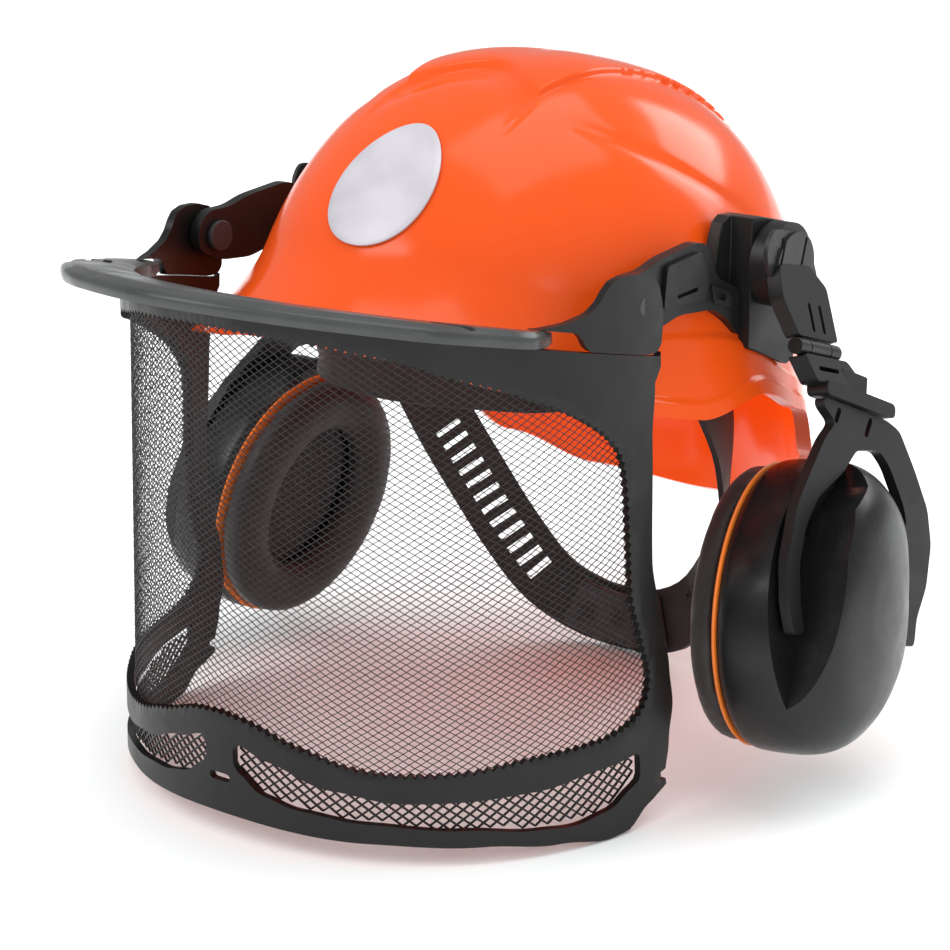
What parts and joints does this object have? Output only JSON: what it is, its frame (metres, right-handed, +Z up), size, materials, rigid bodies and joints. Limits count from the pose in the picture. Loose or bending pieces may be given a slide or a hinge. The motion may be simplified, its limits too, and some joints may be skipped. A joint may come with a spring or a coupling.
{
  "type": "forestry helmet",
  "caption": "Hard safety helmet with flip-up wire-mesh visor, peak, and ear muffs on folding side arms, stood leaning back.",
  "frame": {"origin": "centre of the bounding box at floor level; the front faces -Y and the wearer's left is +X", "axes": "+Z up, standing on the visor foot, the muffs and the nape strap"},
  "size_m": [0.361, 0.3598, 0.2817],
  "materials": {
    "shell_orange": "glossy moulded",
    "black_plastic": "satin moulded",
    "grey_plastic": "satin moulded",
    "badge": "satin",
    "wire_mesh": "black enamelled wire, modelled in the solids as a thin sheet",
    "orange_ring": "satin",
    "cushion_skin": "soft black vinyl",
    "foam": "open foam or terry pad"
  },
  "bodies": {
    "helmet": {"helmet_shell": "shell_orange", "front_badge": "badge", "headband": "black_plastic", "sweatband": "foam", "crown_strap_lower": "black_plastic", "crown_strap_upper": "black_plastic", "harness_clip_front_left": "black_plastic", "harness_clip_front_right": "black_plastic", "harness_clip_rear_left": "black_plastic", "harness_clip_rear_right": "black_plastic", "side_adapter_left": "black_plastic", "side_adapter_right": "black_plastic", "visor_holder_left": "black_plastic", "visor_holder_right": "black_plastic", "arm_pivot_pin_left": "black_plastic", "arm_pivot_pin_right": "black_plastic", "visor_pivot_pin_left": "black_plastic", "visor_pivot_pin_right": "black_plastic", "temple_rivet_left": "black_plastic", "temple_rivet_right": "black_plastic"},
    "visor": {"visor_frame": "black_plastic", "visor_mesh": "wire_mesh", "visor_guard_left": "black_plastic", "visor_guard_right": "black_plastic", "peak": "grey_plastic", "visor_arm_left": "black_plastic", "visor_arm_right": "black_plastic"},
    "nape_strap": {"nape_band": "black_plastic", "nape_pad": "foam"},
    "arm_left": {"arm_upper_link_left": "black_plastic", "arm_cap_left": "grey_plastic", "arm_fold_pin_left": "black_plastic"},
    "link_left": {"arm_lower_link_left": "black_plastic"},
    "fork_left": {"muff_fork_left": "black_plastic"},
    "muff_left": {"ear_cup_left": "black_plastic", "seam_ring_left": "orange_ring", "ear_cushion_left": "cushion_skin", "cup_foam_left": "foam"},
    "arm_right": {"arm_upper_link_right": "black_plastic", "arm_cap_right": "grey_plastic", "arm_fold_pin_right": "black_plastic"},
    "link_right": {"arm_lower_link_right": "black_plastic"},
    "fork_right": {"muff_fork_right": "black_plastic"},
    "muff_right": {"ear_cup_right": "black_plastic", "seam_ring_right": "orange_ring", "ear_cushion_right": "cushion_skin", "cup_foam_right": "foam"}
  },
  "joints": [
    {"name": "visor_flip", "type": "hinge", "parent": "helmet", "child": "visor", "pos_m": [0, -0.03588, 0.20475], "axis": [-1, 0, 0], "range_deg": [0, 105]},
    {"name": "nape_strap_tilt", "type": "hinge", "parent": "helmet", "child": "nape_strap", "pos_m": [0, 0.06212, 0.14875], "axis": [1, 0, 0], "range_deg": [0, 16]},
    {"name": "arm_swing_left", "type": "hinge", "parent": "helmet", "child": "arm_left", "pos_m": [0.122, 0.05312, 0.20625], "axis": [1, 0, 0], "range_deg": [-4, 60]},
    {"name": "arm_fold_left", "type": "hinge", "parent": "arm_left", "child": "link_left", "pos_m": [0.13482, 0.04167, 0.17754], "axis": [0, 0.9564, -0.292], "range_deg": [0, 12]},
    {"name": "muff_height_left", "type": "slide", "parent": "link_left", "child": "fork_left", "axis": [0.2174, -0.4101, -0.8857], "range_m": [0, 0.009]},
    {"name": "muff_tilt_left", "type": "hinge", "parent": "fork_left", "child": "muff_left", "pos_m": [0.16387, 0.03748, 0.06721], "axis": [0.1181, 0.9118, -0.3932], "range_deg": [-6, 2]},
    {"name": "arm_swing_right", "type": "hinge", "parent": "helmet", "child": "arm_right", "pos_m": [-0.122, 0.05312, 0.20625], "axis": [1, 0, 0], "range_deg": [-4, 60]},
    {"name": "arm_fold_right", "type": "hinge", "parent": "arm_right", "child": "link_right", "pos_m": [-0.13482, 0.04167, 0.17754], "axis": [0, -0.9564, 0.292], "range_deg": [0, 12]},
    {"name": "muff_height_right", "type": "slide", "parent": "link_right", "child": "fork_right", "axis": [-0.2174, -0.4101, -0.8857], "range_m": [0, 0.009]},
    {"name": "muff_tilt_right", "type": "hinge", "parent": "fork_right", "child": "muff_right", "pos_m": [-0.16387, 0.03748, 0.06721], "axis": [0.1181, -0.9118, 0.3932], "range_deg": [-6, 2]}
  ]
}
